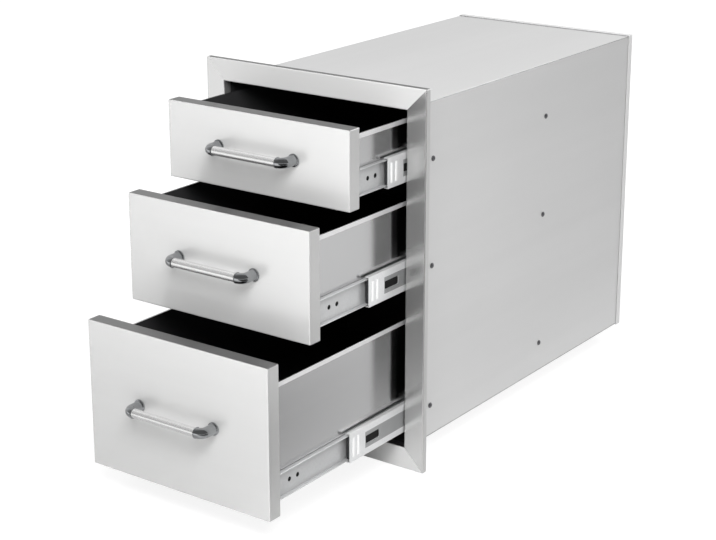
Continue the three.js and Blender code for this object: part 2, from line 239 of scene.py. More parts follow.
def make_handling():
    """Soft cloudy marks left by wiping and by hands, from 0 on clean metal to 1."""
    group, start, end = new_group("handling", "Fineness", 9.0, ("Marks",))
    link = group.links.new
    cloud = add(group, "ShaderNodeTexNoise", {"Detail": 4.0, "Roughness": 0.55})
    ramp = add(group, "ShaderNodeMapRange", {"From Min": 0.42, "From Max": 0.72},
               interpolation_type="SMOOTHSTEP")
    link(start.outputs["Vector"], cloud.inputs["Vector"])
    link(start.outputs["Fineness"], cloud.inputs["Scale"])
    link(cloud.outputs["Fac"], ramp.inputs["Value"])
    link(ramp.outputs["Result"], end.inputs["Marks"])
    return group


BRUSHING = make_brushing()
HANDLING = make_handling()


# Finishes

def new_material(name, metallic):
    """A material with its surface shader and the object's own coordinates."""
    material = bpy.data.materials.new(name)
    material.use_nodes = True
    tree = material.node_tree
    shader = tree.nodes["Principled BSDF"]
    shader.inputs["Metallic"].default_value = metallic
    place = add(tree, "ShaderNodeTexCoord").outputs["Object"]
    return material, tree, shader, place


def drawn_lines(tree, place, scale, streaks):
    """Brush or rolling lines on coordinates drawn out along the grain, mixed and broad."""
    stretch = add(tree, "ShaderNodeMapping", {"Scale": scale})
    tree.links.new(place, stretch.inputs["Vector"])
    lines = add(tree, "ShaderNodeGroup", {"Streaks": streaks}, node_tree=BRUSHING)
    tree.links.new(stretch.outputs["Vector"], lines.inputs["Vector"])
    return lines.outputs["Lines"], lines.outputs["Broad"]


def wiping_marks(tree, place, fineness):
    marks = add(tree, "ShaderNodeGroup", {"Fineness": fineness}, node_tree=HANDLING)
    tree.links.new(place, marks.inputs["Vector"])
    return marks.outputs["Marks"]


def shade(tone, share):
    return [min(part * share, 1) for part in tone]


def colour(tree, shader, mask, first, second):
    """Base colour that runs from one tone to another with a mask."""
    mix = add(tree, "ShaderNodeMix", data_type="RGBA")
    mix.inputs[6].default_value = (*first, 1)
    mix.inputs[7].default_value = (*second, 1)
    tree.links.new(mask, mix.inputs["Factor"])
    tree.links.new(mix.outputs[2], shader.inputs["Base Color"])


def value_between(tree, mask, low, high):
    ramp = add(tree, "ShaderNodeMapRange", {"To Min": low, "To Max": high})
    tree.links.new(mask, ramp.inputs["Value"])
    return ramp.outputs["Result"]


def bump(tree, shader, height, strength, distance):
    node = add(tree, "ShaderNodeBump", {"Strength": strength, "Distance": distance})
    tree.links.new(height, node.inputs["Height"])
    tree.links.new(node.outputs["Normal"], shader.inputs["Normal"])


def brushed_steel(name, grain, tone, roughness, relief=0.25, spread=0.7, metallic=1.0):
    """Stainless sheet brushed along one axis, which spreads its reflections across the grain."""
    material, tree, shader, place = new_material(name, metallic)
    shader.inputs["Anisotropic"].default_value = spread
    shader.inputs["Anisotropic Rotation"].default_value = GRAIN_ROTATION
    along = add(tree, "ShaderNodeTangent", direction_type="UV_MAP", uv_map="grain")
    tree.links.new(along.outputs["Tangent"], shader.inputs["Tangent"])
    lines, broad = drawn_lines(tree, place, GRAIN_SCALES[grain], streaks=0.55)
    marks = wiping_marks(tree, place, fineness=7.0)
    colour(tree, shader, lines, *(shade(tone, share) for share in LINE_TONES))
    rough = value_between(tree, broad, *(roughness * share for share in LINE_GLOSS))
    wiped = math_node(tree, "MULTIPLY", marks, WIPED)
    tree.links.new(math_node(tree, "ADD", rough, wiped), shader.inputs["Roughness"])
    if relief:
        bump(tree, shader, lines, relief, LINE_DEPTH)
    return material


def mill_steel(name, tone, roughness, metallic):
    """Dull rolled sheet with faint rolling lines along the depth of the box."""
    material, tree, shader, place = new_material(name, metallic)
    lines, broad = drawn_lines(tree, place, ROLLING_SCALE, streaks=0.8)
    marks = wiping_marks(tree, place, fineness=4.0)
    colour(tree, shader, broad, *(shade(tone, share) for share in ROLLING_TONES))
    rough = value_between(tree, marks, roughness, roughness + ROLLING_GLOSS)
    tree.links.new(rough, shader.inputs["Roughness"])
    bump(tree, shader, lines, strength=0.08, distance=ROLLING_DEPTH)
    return material


def plated_steel(name, tone, roughness, metallic=1.0):
    """Bright zinc plating on cold-rolled strip, slightly mottled."""
    material, tree, shader, place = new_material(name, metallic)
    mottle = add(tree, "ShaderNodeTexVoronoi", {"Scale": MOTTLE_SCALE}, feature="F1")
    tree.links.new(place, mottle.inputs["Vector"])
    marks = wiping_marks(tree, place, fineness=30.0)
    colour(tree, shader, mottle.outputs["Distance"], tone, shade(tone, MOTTLE_TONE))
    rough = value_between(tree, marks, roughness, roughness + MOTTLE_GLOSS)
    tree.links.new(rough, shader.inputs["Roughness"])
    return material


def polished_chrome(name):
    """Mirror chrome with a trace of wiping marks."""
    material, tree, shader, place = new_material(name, 1.0)
    marks = wiping_marks(tree, place, fineness=60.0)
    colour(tree, shader, marks, *CHROME_TONES)
    tree.links.new(value_between(tree, marks, *CHROME_GLOSS), shader.inputs["Roughness"])
    return material


def black_plastic_and_painted_shade(name, tone, roughness, grain_size=900.0, shine=0.5):
    """Matt near-black finish with a fine orange-peel surface: real black plastic, and also
    near-black painted shade inside the box and drawers and in the slides' holes and windows.
    """
    material, tree, shader, place = new_material(name, 0.0)
    shader.inputs["Specular IOR Level"].default_value = shine
    peel = add(tree, "ShaderNodeTexNoise", {"Scale": grain_size, "Detail": 2.0})
    tree.links.new(place, peel.inputs["Vector"])
    grain = peel.outputs["Fac"]
    colour(tree, shader, grain, tone, shade(tone, PEEL_TONE))
    rough = value_between(tree, grain, roughness - PEEL_GLOSS, roughness + PEEL_GLOSS)
    tree.links.new(rough, shader.inputs["Roughness"])
    bump(tree, shader, grain, strength=0.15, distance=PEEL_DEPTH)
    return material


GRAINS = {"face": "x", "rail": "x", "stile": "z", "fold": "y", "ledge": "x", "bar": "x",
          "tray": "y", "hem": "y"}
MATERIALS = {
    "face": brushed_steel("satin face brushed across", "x", (0.635, 0.635, 0.632), 0.23,
                          relief=0, spread=0.6, metallic=0.3),
    "rail": brushed_steel("satin rail brushed across", "x", (0.58, 0.58, 0.577), 0.34,
                          relief=0, metallic=0.12),
    "stile": brushed_steel("brushed upright", "z", (0.72, 0.72, 0.716), 0.22,
                           relief=0.15, spread=0.75, metallic=0.85),
    "fold": brushed_steel("folded edge of the sheet", "y", (0.66, 0.66, 0.656), 0.31,
                          relief=0.15, metallic=0.85),
    # painted shade: the upward and downward turned sheet is a much darker copy of the same brushed
    # steel
    "ledge": brushed_steel("upper and lower folded edge in painted shade", "x", (0.3, 0.3, 0.3), 0.34, spread=0.85),
    "bar": brushed_steel("satin handle bar", "x", (0.8, 0.8, 0.796), 0.2,
                         relief=0.04, metallic=0.75),
    "tray": brushed_steel("satin tray sheet", "y", (0.68, 0.68, 0.685), 0.18),
    # painted highlight: the hem is a lighter, less metallic copy of the tray sheet so it reads as a
    # lit band
    "hem": brushed_steel("rolled hem of the tray in painted light", "y", (0.74, 0.74, 0.745), 0.31,
                         relief=0.05, metallic=0.55),
    "box": mill_steel("mill finish box sheet", (0.77, 0.77, 0.77), 0.4, metallic=0.75),
    "slide": plated_steel("plated slide strip", (0.6, 0.605, 0.61), 0.29, metallic=0.6),
    # painted shade: a darker copy of the plated steel on the middle members' web
    "race": plated_steel("painted shade on the web between the raceways", (0.42, 0.425, 0.43), 0.32, metallic=0.7),
    # painted light: the middle members are a lighter copy of the same plated steel
    "tip": plated_steel("middle strip in painted light", (0.86, 0.865, 0.87), 0.3, metallic=0.6),
    # painted light: the back's turned edges are a less metallic copy of the box sheet so they read
    # as a lit strip
    "edge strip": brushed_steel("turned edge in painted light", "y", (0.74, 0.74, 0.74), 0.4,
                                relief=0.05, metallic=0.4),
    "chrome": polished_chrome("polished handle ends"),
    # painted shade: the inner faces of the box and drawers are near-black to stand for the shade
    # inside them
    "inside": black_plastic_and_painted_shade("painted shade inside the sheet", (0.022, 0.022, 0.023), 0.5),
    "plastic": black_plastic_and_painted_shade("moulded black plastic", (0.018, 0.018, 0.02), 0.42, grain_size=1600.0),
    "screw": plated_steel("plated screws", (0.22, 0.22, 0.23), 0.3),
    # painted highlight: the top faces of the middle members' ribs are white
    "rib": plated_steel("ribs with painted highlight", (1.0, 1.0, 1.0), 0.3, metallic=0.3),
    # painted shade: near-black for the shade in the drawer members' holes and the middle members'
    # windows
    "hole": black_plastic_and_painted_shade("shaded recess", (0.008, 0.008, 0.008), 0.6, shine=0.15),
}


# Mesh building

def soften_shading(bm, limit=ROUND_SMOOTH):
    """Smooth faces, with the edges kept sharp where faces meet at more than the limit."""
    for face in bm.faces:
        face.smooth = True
    for edge in bm.edges:
        edge.smooth = len(edge.link_faces) == 2 and edge.calc_face_angle(0.0) < limit


def lay_grain(bm, materials):
    """A flat map on every face whose first coordinate runs along the grain of its sheet."""
    layer = bm.loops.layers.uv.new("grain")
    axes = {"x": Vector((1, 0, 0)), "y": Vector((0, 1, 0)), "z": Vector((0, 0, 1))}
    for face in bm.faces:
        along = axes[GRAINS.get(materials[face.material_index], "y")]
        if abs(face.normal.dot(along)) > ENDWISE:
            along = axes["y" if along.y == 0 else "x"]
        across = face.normal.cross(along).normalized()
        along = across.cross(face.normal)
        for loop in face.loops:
            loop[layer].uv = (along.dot(loop.vert.co), across.dot(loop.vert.co))


def add_piece(name, mesh, body, replaced=()):
    """Puts a mesh in the scene as a piece that rides on a body and takes the place of CAD nodes."""
    piece = bpy.data.objects.new(name, mesh)
    bpy.context.scene.collection.objects.link(piece)
    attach(piece, body)
    if replaced:
        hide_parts(*replaced)


def finish_piece(name, bm, materials, body, replaced=()):
    """Turns a bmesh into a piece, with its grain laid and its materials in order."""
    bm.normal_update()
    lay_grain(bm, materials)
    mesh = bpy.data.meshes.new(name)
    bm.to_mesh(mesh)
    bm.free()
    for key in materials:
        mesh.materials.append(MATERIALS[key])
    add_piece(name, mesh, body, replaced)


def merged_copy(node):
    """A CAD node's mesh with its doubles merged and its flat faces joined."""
    bm = bmesh.new()
    bm.from_mesh(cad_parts[node].data)
    bmesh.ops.remove_doubles(bm, verts=bm.verts, dist=DOUBLE)
    bmesh.ops.dissolve_limit(bm, angle_limit=FLAT_ANGLE, verts=bm.verts, edges=bm.edges)
    return bm


def is_edge(edge):
    return len(edge.link_faces) == 2 and edge.calc_face_angle(0.0) > EDGE_ANGLE


def break_edges(bm, width):
    """Rounds every edge of a folded or cut sheet a little."""
    edges = [edge for edge in bm.edges if is_edge(edge)]
    done = bmesh.ops.bevel(bm, geom=edges, offset=width, segments=2, profile=0.5,
                           affect="EDGES", clamp_overlap=True)
    for face in done["faces"]:
        face.smooth = True


def fold_edges(bm, least, width, segments, way):
    """Rounds the outward edges that run one way and are at least so long."""
    edges = []
    for edge in bm.edges:
        run = edge.verts[1].co - edge.verts[0].co
        is_along = run.length >= least and abs(run.normalized()[way]) >= STRAIGHT
        if is_along and is_edge(edge) and edge.is_convex:
            edges.append(edge)
    bmesh.ops.bevel(bm, geom=edges, offset=width, segments=segments, profile=0.5,
                    affect="EDGES", clamp_overlap=False)


def filleted(points):
    """A closed outline of (a, b, radius) points with its corners rounded."""
    outline = []
    for i, (a, b, radius) in enumerate(points):
        if not radius:
            outline.append((a, b))
            continue
        here = Vector((a, b))
        back = (Vector(points[i - 1][:2]) - here).normalized()
        ahead = (Vector(points[(i + 1) % len(points)][:2]) - here).normalized()
        half = back.angle(ahead) / 2
        reach = radius / math.tan(half)
        centre = here + (back + ahead).normalized() * radius / math.sin(half)
        start = here + back * reach - centre
        turn = (here + ahead * reach - centre).angle_signed(start)
        for k in range(FILLET_STEPS + 1):
            angle = turn * k / FILLET_STEPS
            outline.append((
                centre.x + start.x * math.cos(angle) - start.y * math.sin(angle),
                centre.y + start.x * math.sin(angle) + start.y * math.cos(angle),
            ))
    return outline


def rectangle_ring(first, second, inset, corner, steps):
    """Points of a rounded rectangle over two ranges, taken in by an inset."""
    radius = max(corner - inset, LEAST_CORNER)
    low_a, high_a = first[0] + inset + radius, first[1] - inset - radius
    low_b, high_b = second[0] + inset + radius, second[1] - inset - radius
    corners = ((low_a, low_b, 180), (high_a, low_b, 270), (high_a, high_b, 0), (low_a, high_b, 90))
    ring = []
    for a, b, start in corners:
        for i in range(steps + 1):
            angle = math.radians(start + 90 * i / steps)
            ring.append((a + radius * math.cos(angle), b + radius * math.sin(angle)))
    return ring


def loft(rings, closed=False):
    """A skin over rings of points: a band that closes on itself, or a solid with flat caps."""
    bm = bmesh.new()
    loops = [[bm.verts.new(point) for point in ring] for ring in rings]
    count = len(loops[0])
    following = loops[1:] + loops[:1] if closed else loops[1:]
    for here, after in zip(loops, following):
        for i in range(count):
            j = (i + 1) % count
            bm.faces.new((here[i], here[j], after[j], after[i]))
    if not closed:
        bm.faces.new(loops[0])
        bm.faces.new(list(reversed(loops[-1])))
    bmesh.ops.recalc_face_normals(bm, faces=bm.faces)
    return bm


def folded_round(node, outline, closed):
    """Sheet folded round a node's rectangle: an outline of (inset, depth) carried round its sides.

    The first material goes to the lower and upper side and the caps, the second to the uprights,
    and the third and fourth to what is turned sideways and upward or downward.
    """
    low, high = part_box(node)
    x, z = (low[0], high[0]), (low[2], high[2])
    bm = loft([
        [(a, depth, b) for a, b in rectangle_ring(x, z, inset, CORNER_RADIUS, CORNER_STEPS)]
        for inset, depth in outline
    ], closed)
    count = 4 * (CORNER_STEPS + 1)
    sides = count * (len(outline) if closed else len(outline) - 1)
    for index, face in enumerate(bm.faces):
        corner, step = divmod(index % count, CORNER_STEPS + 1)
        if abs(face.normal.y) < SIDEWAYS:
            face.material_index = 2 if abs(face.normal.x) > FACING else 3
        elif index < sides:
            face.material_index = (corner if step >= CORNER_STEPS / 2 else corner - 1) % 2
    soften_shading(bm, FOLD_SMOOTH)
    return bm


def swept_tube(stations, sides):
    """A closed tube in the plane of X and Y: stations of (centre, direction, radius)."""
    up = Vector((0, 0, 1))
    angles = [2 * math.pi * i / sides for i in range(sides)]
    rings = []
    for centre, way, radius in stations:
        side = Vector((-way.y, way.x, 0)).normalized()
        rings.append([centre + radius * (math.cos(a) * side + math.sin(a) * up) for a in angles])
    bm = loft(rings)
    soften_shading(bm)
    return bm


# Frame, fronts and box

def make_face_frame():
    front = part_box("face_frame")[0][1]
    rail, sheet, margin = FRAME_RAIL, FRAME_SHEET, FOLD_RADIUS + FLAT_MARGIN
    points = [
        (0, 0, FOLD_RADIUS), (margin, 0, 0), (rail - FOLD_RADIUS - FLAT_MARGIN, 0, 0),
        (rail, 0, FOLD_RADIUS), (rail, margin, 0), (rail, RETURN_DEPTH, 0),
        (rail - sheet, RETURN_DEPTH, 0), (rail - sheet, sheet, FOLD_INSIDE),
        (sheet, sheet, FOLD_INSIDE), (sheet, RIM_DEPTH - sheet, LIP_INSIDE),
        (RIM_LIP, RIM_DEPTH - sheet, 0), (RIM_LIP, RIM_DEPTH, 0), (0, RIM_DEPTH, FOLD_RADIUS),
    ]
    outline = [(inset, front + depth) for inset, depth in filleted(points)]
    bm = folded_round("face_frame", outline, True)
    finish_piece("face_frame_sheet", bm, ("rail", "stile", "fold", "ledge"), "cabinet",
                 ["face_frame"])


def make_front(drawer):
    node = f"{drawer}_front"
    low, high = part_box(node)
    front, back = low[1], high[1]
    outline = [(FOLD_RADIUS + FLAT_MARGIN, front)]
    for k in range(FOLD_STEPS + 1):
        angle = math.radians(90 * k / FOLD_STEPS)
        outline.append((FOLD_RADIUS * (1 - math.sin(angle)),
                        front + FOLD_RADIUS * (1 - math.cos(angle))))
    inner = front + FRONT_SHEET
    outline += [(0, back), (FRONT_SHEET, back), (FRONT_SHEET, inner), (2 * FRONT_SHEET, inner)]
    bm = folded_round(node, outline, False)
    finish_piece(f"{node}_pan", bm, ("face", "face", "fold", "ledge"), f"{drawer}_drawer",
                 [node])


def make_sheet(node, body, outer, is_inner, is_trim=None, trim="hem"):
    """A CAD sheet with its edges broken and its inner faces near-black as painted shade."""
    bm = merged_copy(node)
    break_edges(bm, EDGE_BREAK)
    for face in bm.faces:
        face.material_index = 1 if is_inner(face) else 0
        if is_trim and is_trim(face):
            face.material_index = 2
    finish_piece(f"{node}_sheet", bm, (outer, "inside", trim), body, [node])


def make_box():
    for hand, sign in HANDS:
        node = f"{hand}_side_panel"
        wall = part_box(node)[1][0] if sign > 0 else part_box(node)[0][0]

        def inner_side(face, wall=wall):
            off_wall = abs(face.calc_center_median().x - wall)
            return off_wall > BOX_SKIN and not abs(face.normal.y) > FACING

        make_sheet(node, "cabinet", "box", inner_side)
    for node, way in (("top_panel", -1), ("bottom_panel", 1)):

        def inner_flat(face, way=way):
            return face.normal.z * way > FACING

        make_sheet(node, "cabinet", "box", inner_flat)
    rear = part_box("back_panel")[1][1]

    def inner_back(face):
        return face.normal.y < -FACING and face.calc_center_median().y > rear - BACK_SKIN

    def turned_edge(face):
        return face.calc_center_median().y < rear - BACK_TURN

    make_sheet("back_panel", "cabinet", "box", inner_back, turned_edge, "edge strip")


def make_tray(drawer):
    """The tray, its rear wall and the liner behind its front."""
    body = f"{drawer}_drawer"
    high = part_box(f"{drawer}_tray")[1]
    wall = high[0] - HEM_PROUD
    top = high[2]

    # the tray's floor and inner walls take the near-black painted shade
    def inner_tray(face):
        centre = face.calc_center_median()
        if face.normal.z > FACING:
            return centre.z < top - HEM_TOP
        if abs(face.normal.x) > FACING:
            return face.normal.x * centre.x < 0 and abs(centre.x) < wall - WALL_SKIN
        return False

    # the hem band takes the painted-highlight copy of the tray sheet
    def hem(face):
        centre = face.calc_center_median()
        is_high = centre.z > top - HEM_HEIGHT
        return is_high and abs(centre.x) > wall - CLOSE and not inner_tray(face)

    make_sheet(f"{drawer}_tray", body, "tray", inner_tray, hem)
    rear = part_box(f"{drawer}_tray_back")[1][1]

    def inner_back(face):
        return face.calc_center_median().y < rear - WALL_SKIN

    make_sheet(f"{drawer}_tray_back", body, "tray", inner_back)
    make_sheet(f"{drawer}_front_liner", body, "tray", lambda face: False)


# Handles

def elbow_stations(sign, z, face):
    """Stations from the foot on the drawer front, round the bend and into the socket's end ring."""
    straight = STANDOFF - ELBOW_BEND - GAP
    bend = ELBOW_BEND * math.pi / 2
    total = straight + bend + SOCKET
    shape = [(way * MM, FOOT_RADIUS + more * MM) for way, more in FOOT_PROFILE]
    shape += [(way * MM, ELBOW_RADIUS + more * MM) for way, more in NECK_PROFILE]
    shape += [(straight + bend * k / ELBOW_STEPS, ELBOW_RADIUS) for k in range(ELBOW_STEPS + 1)]
    shape.append((total - RING_LENGTH, ELBOW_RADIUS))
    shape += [(total + way * MM, RING_RADIUS + more * MM) for way, more in RING_PROFILE]
    stations = []
    for way, radius in shape:
        turn = min(max(way - straight, 0) / ELBOW_BEND, math.pi / 2)
        run = max(way - straight - bend, 0)
        across = ELBOW_BEND * (1 - math.cos(turn)) + run
        out = GAP + min(way, straight) + ELBOW_BEND * math.sin(turn)
        centre = Vector((sign * (HALF_SPAN - across), face - out, z))
        heading = Vector((-sign * math.sin(turn), -math.cos(turn), 0))
        stations.append((centre, heading, radius))
    return stations


def make_handle(drawer):
    body = f"{drawer}_drawer"
    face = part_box(f"{drawer}_front")[0][1]
    low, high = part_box(f"{drawer}_handle_bar")
    z = (low[2] + high[2]) / 2
    for hand, sign in HANDS:
        bm = swept_tube(elbow_stations(sign, z, face), ELBOW_SIDES)
        finish_piece(f"{drawer}_{hand}_handle_end", bm, ("chrome",), body,
                     [f"{drawer}_{hand}_handle_post"])
    half = high[0]
    end_radius = BAR_RADIUS - BAR_CHAMFER
    profile = [(-half, end_radius), (-half + BAR_CHAMFER, BAR_RADIUS), (-half / 2, BAR_RADIUS),
               (0, BAR_RADIUS), (half / 2, BAR_RADIUS), (half - BAR_CHAMFER, BAR_RADIUS),
               (half, end_radius)]
    along = Vector((1, 0, 0))
    stations = [(Vector((x, face - STANDOFF, z)), along, radius) for x, radius in profile]
    finish_piece(f"{drawer}_handle_grip", swept_tube(stations, BAR_SIDES), ("bar",), body,
                 [f"{drawer}_handle_bar"])


# Slides

def part_web(bm, behind, middle):
    """Cuts a middle member's faces along the outline of its web, which is painted darker as shade
    between the raceways.
    """
    for place, way in (((0, behind, 0), (0, 1, 0)),
                       ((0, 0, middle - WEB_HALF_HEIGHT), (0, 0, 1)),
                       ((0, 0, middle + WEB_HALF_HEIGHT), (0, 0, 1))):
        faces = [face for face in bm.faces if face.calc_center_median().y > behind or way[1]]
        edges = {edge for face in faces for edge in face.edges}
        verts = {vert for face in faces for vert in face.verts}
        bmesh.ops.bisect_plane(bm, geom=[*verts, *edges, *faces], plane_co=place, plane_no=way)
    bm.normal_update()


def make_member(node, body):
    """A rolled slide member with round folds; a middle one is a lighter copy in painted light, with
    painted highlights on its ribs and painted shade on its web.
    """
    bm = merged_copy(node)
    fold_edges(bm, LONG_EDGE, RACE_FOLD, RACE_STEPS, DEPTHWISE)
    proud = max(abs(vert.co.x) for vert in bm.verts) - RIB_TOP
    fold_edges(bm, TALL_EDGE, END_FOLD, END_STEPS, UPRIGHT)
    strip = "slide"
    if "middle_slide" in node:
        strip = "tip"
        low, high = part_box(node)
        behind = low[1] + WINDOW_START - WEB_LEAD
        middle = (low[2] + high[2]) / 2
        part_web(bm, behind, middle)
        for face in bm.faces:
            centre = face.calc_center_median()
            is_web = centre.y > behind and abs(centre.z - middle) < WEB_HALF_HEIGHT
            # the ribs' top faces take the white painted highlight
            if abs(centre.x) > proud and face.calc_area() < RIB_AREA:
                face.material_index = 1
            elif is_web and face.normal.x * centre.x > STRAIGHT * abs(centre.x):
                face.material_index = 2
    soften_shading(bm, MEMBER_SMOOTH)
    finish_piece(f"{node}_strip", bm, (strip, "rib", "race"), body, [node])


def make_cage(node, body):
    bm = merged_copy(node)
    break_edges(bm, CAGE_BREAK)
    finish_piece(f"{node}_strip", bm, ("plastic",), body, [node])


def middle_member(drawer, hand, sign):
    """A middle member's front end, the outer face of its web, and its mid-height."""
    low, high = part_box(f"{drawer}_{hand}_middle_slide")
    outer = high[0] if sign > 0 else low[0]
    return low[1], outer - sign * RIB_HEIGHT, (low[2] + high[2]) / 2


def make_window_insert(drawer, hand, sign):
    """The black plastic plate of the release catch that fills a middle member's window; its
    near-black tone is partly the plastic and partly painted shade of the window's recess.
    """
    front, web, middle = middle_member(drawer, hand, sign)
    start = front + WINDOW_START
    half = WINDOW_HEIGHT / 2
    y = (start + WINDOW_GAP, start + WINDOW_LENGTH - WINDOW_GAP)
    z = (middle - half + WINDOW_GAP, middle + half - WINDOW_GAP)
    bm = loft([
        [(web - sign * depth * MM, a, b)
         for a, b in rectangle_ring(y, z, inset * MM, WINDOW_CORNER, steps=4)]
        for inset, depth in INSERT_PROFILE
    ])
    soften_shading(bm)
    finish_piece(f"{drawer}_{hand}_window_insert", bm, ("hole",), f"{drawer}_middle_slides")


def make_end_guide_and_shade(drawer, hand, sign):
    """The black plastic guide inside a middle member's front end, over the drawer member's web; it
    also stands as painted shade of the channel's open end.
    """
    front, web, middle = middle_member(drawer, hand, sign)
    outer = web - sign * GUIDE_SUNK
    x = sorted((outer, outer - sign * GUIDE_DEPTH))
    z = (middle - GUIDE_HALF_HEIGHT, middle + GUIDE_HALF_HEIGHT)
    bm = loft([
        [(a, front + depth * MM, b)
         for a, b in rectangle_ring(x, z, inset * MM, GUIDE_CORNER, steps=3)]
        for inset, depth in GUIDE_PROFILE
    ])
    soften_shading(bm)
    finish_piece(f"{drawer}_{hand}_end_guide", bm, ("plastic",), f"{drawer}_middle_slides")


def make_slides(drawer):
    for hand, sign in HANDS:
        mark = f"{drawer}_{hand}"
        make_member(f"{mark}_cabinet_slide", "cabinet")
        make_member(f"{mark}_middle_slide", f"{drawer}_middle_slides")
        make_member(f"{mark}_drawer_slide", f"{drawer}_drawer")
        make_window_insert(drawer, hand, sign)
        make_end_guide_and_shade(drawer, hand, sign)
        make_cage(f"{mark}_outer_cage", f"{drawer}_outer_cages")
        make_cage(f"{mark}_inner_cage", f"{drawer}_inner_cages")


# Screws, set by geometry nodes

def make_screw_head():
    """A low round screw head along +Z with a cross recess, one unit in diameter."""
    angles = [2 * math.pi * i / HEAD_SIDES for i in range(HEAD_SIDES)]
    rings = [[(radius * math.cos(a), radius * math.sin(a), height) for a in angles]
             for radius, height in HEAD_PROFILE]
    quarter = HEAD_SIDES // 4
    cross = []
    for i, angle in enumerate(angles):
        reach = CROSS_TIP if i % quarter in (0, 1, quarter - 1) else CROSS_CORNER
        cross.append((reach * math.cos(angle), reach * math.sin(angle), CROSS_FLOOR))
    bm = loft([*rings, cross])
    soften_shading(bm)
    mesh = bpy.data.meshes.new("screw_head")
    bm.to_mesh(mesh)
    bm.free()
    return bpy.data.objects.new("screw_head", mesh)


def make_setting_tree():
    """Sets a part at every vertex of a mesh of places, turned one way and at one size."""
    tree = bpy.data.node_groups.new("set at places", "GeometryNodeTree")
    for label, kind in (("Places", "Geometry"), ("Part", "Object"), ("Turn", "Rotation"),
                        ("Diameter", "Float"), ("Finish", "Material")):
        tree.interface.new_socket(name=label, in_out="INPUT", socket_type=f"NodeSocket{kind}")
    tree.interface.new_socket(name="Set", in_out="OUTPUT", socket_type="NodeSocketGeometry")
    start, end = tree.nodes.new("NodeGroupInput"), tree.nodes.new("NodeGroupOutput")
    part = tree.nodes.new("GeometryNodeObjectInfo")
    place = tree.nodes.new("GeometryNodeInstanceOnPoints")
    real = tree.nodes.new("GeometryNodeRealizeInstances")
    paint = tree.nodes.new("GeometryNodeSetMaterial")
    link = tree.links.new
    link(start.outputs["Part"], part.inputs["Object"])
    link(start.outputs["Places"], place.inputs["Points"])
    link(part.outputs["Geometry"], place.inputs["Instance"])
    link(start.outputs["Turn"], place.inputs["Rotation"])
    link(start.outputs["Diameter"], place.inputs["Scale"])
    link(place.outputs["Instances"], real.inputs["Geometry"])
    link(real.outputs["Geometry"], paint.inputs["Geometry"])
    link(start.outputs["Finish"], paint.inputs["Material"])
    link(paint.outputs["Geometry"], end.inputs["Set"])
    return tree


SCREW_HEAD = make_screw_head()
SETTING_TREE = make_setting_tree()


def set_screws(name, places, turn, diameter, finish, body):
    """One piece made of a screw head set at each place."""
    points = bpy.data.meshes.new(f"{name}_places")
    points.from_pydata(places, [], [])
    holder = bpy.data.objects.new(f"{name}_holder", points)
    bpy.context.scene.collection.objects.link(holder)
    modifier = holder.modifiers.new("set", "NODES")
    modifier.node_group = SETTING_TREE
    values = {"Part": SCREW_HEAD, "Turn": turn, "Diameter": diameter, "Finish": MATERIALS[finish]}
    for item in SETTING_TREE.interface.items_tree:
        if item.name in values and item.in_out == "INPUT":
            modifier[item.identifier] = values[item.name]
    bpy.context.view_layer.update()
    shown = holder.evaluated_get(bpy.context.evaluated_depsgraph_get())
    mesh = bpy.data.meshes.new_from_object(shown)
    mesh.name = name
    bpy.data.objects.remove(holder)
    add_piece(name, mesh, body)


def make_screws():
    """The screws of the cabinet and drawer members, and near-black discs of painted shade in the
    drawer members' holes.
    """
    for hand, sign in HANDS:
        turn = Euler((0, sign * math.pi / 2, 0))
        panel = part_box(f"{hand}_side_panel")
        outer = panel[1][0] if sign > 0 else panel[0][0]
        places = []
        for drawer in DRAWERS:
            low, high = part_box(f"{drawer}_{hand}_cabinet_slide")
            z = (low[2] + high[2]) / 2
            places += [(outer, low[1] + FIRST_SCREW + step, z) for step in (0, SCREW_PITCH)]
            low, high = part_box(f"{drawer}_{hand}_drawer_slide")
            web = low[0] if sign > 0 else high[0]
            held = [(web + sign * SLIDE_SHEET, low[1] + step, z) for step in DRAWER_SCREWS]
            set_screws(f"{drawer}_{hand}_slide_screws", held, turn, DRAWER_SCREW, "screw",
                       f"{drawer}_drawer")
            # near-black discs in the holes, painted shade of the holes
            dark = [(web + sign * HOLE_PROUD, low[1] + step, z) for step in HOLES]
            set_screws(f"{drawer}_{hand}_rivets", dark, turn, HOLE, "hole", f"{drawer}_drawer")
        set_screws(f"{hand}_side_screws", places, turn, BOX_SCREW, "screw", "cabinet")


make_face_frame()
make_box()
for drawer in DRAWERS:
    make_front(drawer)
    make_tray(drawer)
    make_handle(drawer)
    make_slides(drawer)
make_screws()


# Floor, light and camera

FLOOR_REACH = 9
FLOOR_DROP = 1 * MM
FLOOR_TONE = (0.8, 0.8, 0.8, 1)
SHADOW_TONE = 0.22  # how much of the floor's shown tone still takes light and shadow
SHADE_MOST = 0.92
MIRRORED_TONE = 0.78
BESIDE_STRENGTH = 0.8
ROOM_STRENGTH = 0.4
# Softboxes: name, place, aim, size, power, and whether metal mirrors it. One that isn't mirrored
# lights the satin faces without a hot spot in the metal.
SOFTBOXES = (
    ("key softbox", (0.85, -1.1, 1.45), (0, -0.15, 0.35), (1.2, 0.8), 44.5, False),
    ("top softbox", (-1.0, -0.5, 2.1), (0, 0, 0.3), (1.2, 1.2), 8, False),
    ("rear softbox", (0.6, 1.9, 1.9), (0, 0.2, 0.3), (1.4, 1.0), 18, True),
)
# The camera solved from the photograph: lengths of the lens in millimetres, angles in degrees
SENSOR = 36
LENS = 86.718
PICTURE_WIDTH = 716
SHIFT = -57
CAMERA_PLACE = (1.32189, -1.73864, 0.97151)
CAMERA_DIP = 16.616
CAMERA_TURN = 35.827
FARTHEST = 50


